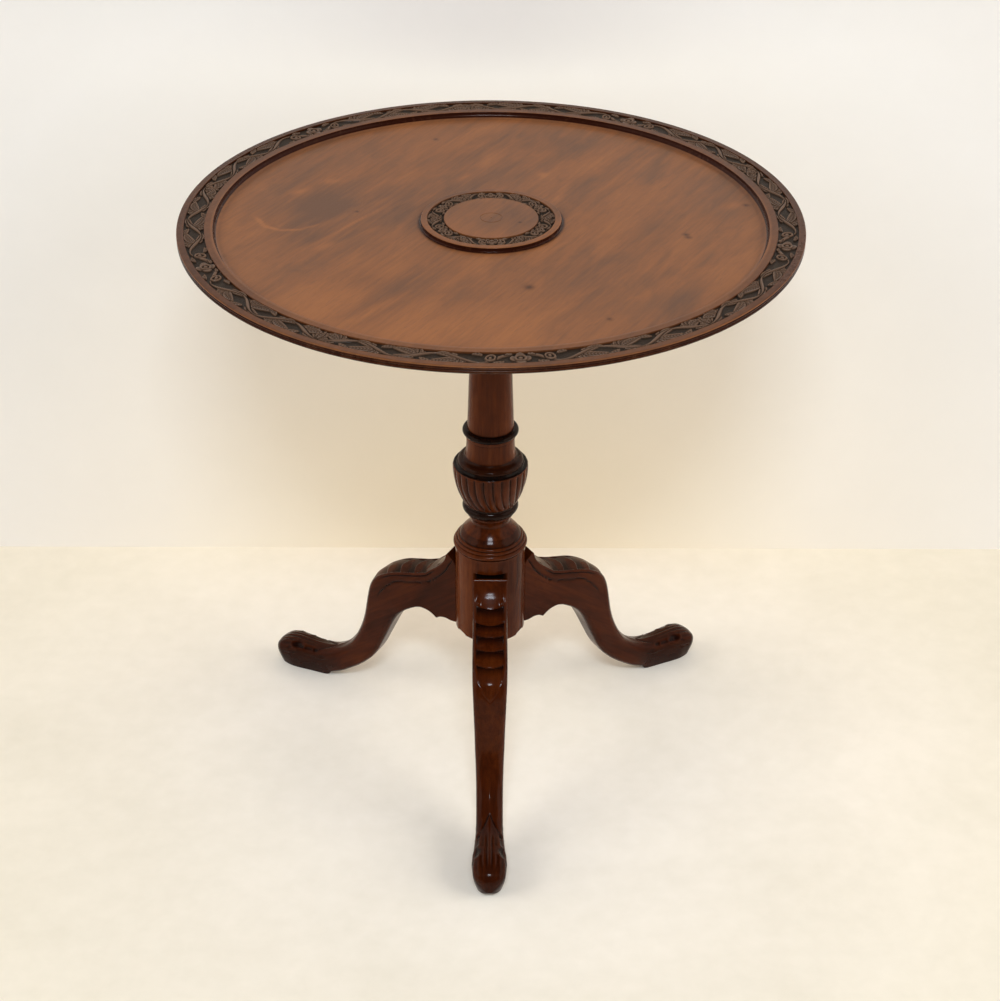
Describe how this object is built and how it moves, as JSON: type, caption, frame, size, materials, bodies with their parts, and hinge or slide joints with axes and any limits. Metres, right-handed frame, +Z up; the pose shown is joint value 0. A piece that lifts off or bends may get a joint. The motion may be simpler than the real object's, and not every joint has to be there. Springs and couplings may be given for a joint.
{
  "type": "occasional table",
  "caption": "Round tilt-top occasional table in mahogany, with a dished top, carved borders, a raised roundel, a turned pillar with a reeded urn and carved cabriole legs.",
  "frame": {"origin": "on the floor, under the axis of the pillar", "axes": "+Z up, +X to the right as seen from the front leg's side, +Y to the back, so that the front leg points to -Y"},
  "size_m": [0.68, 0.68, 0.708],
  "materials": {
    "carved_mahogany": "gloss",
    "plain_mahogany": "satin",
    "pale_wedge_wood": "matte",
    "forged_iron": "matte",
    "steel_screws": "satin",
    "aged_brass": "satin",
    "spring_wire": "satin"
  },
  "bodies": {
    "stand": {"pillar": "carved_mahogany", "leg_front": "carved_mahogany", "leg_left": "carved_mahogany", "leg_right": "carved_mahogany", "brace_plate": "forged_iron", "brace_screws": "steel_screws", "top_block": "plain_mahogany", "tenon_wedge": "pale_wedge_wood", "keeper_plate": "aged_brass", "keeper_screws": "aged_brass", "pivot_pin_left": "plain_mahogany", "pivot_pin_right": "plain_mahogany"},
    "top": {"top_board": "carved_mahogany", "bearer_left": "plain_mahogany", "bearer_right": "plain_mahogany", "bearer_screws": "steel_screws", "catch_case": "aged_brass", "catch_screws": "aged_brass", "catch_spring": "spring_wire"},
    "catch": {"catch_bolt": "aged_brass", "catch_knob": "aged_brass"}
  },
  "joints": [
    {"name": "top_tilt", "type": "hinge", "parent": "stand", "child": "top", "pos_m": [0, 0.0503, 0.675], "axis": [-1, 0, 0], "range_deg": [0, 90]},
    {"name": "catch_slide", "type": "slide", "parent": "top", "child": "catch", "axis": [0, 1, 0], "range_m": [0, 0.008], "stiffness_N_per_m": 400, "springref_m": 0.012}
  ]
}
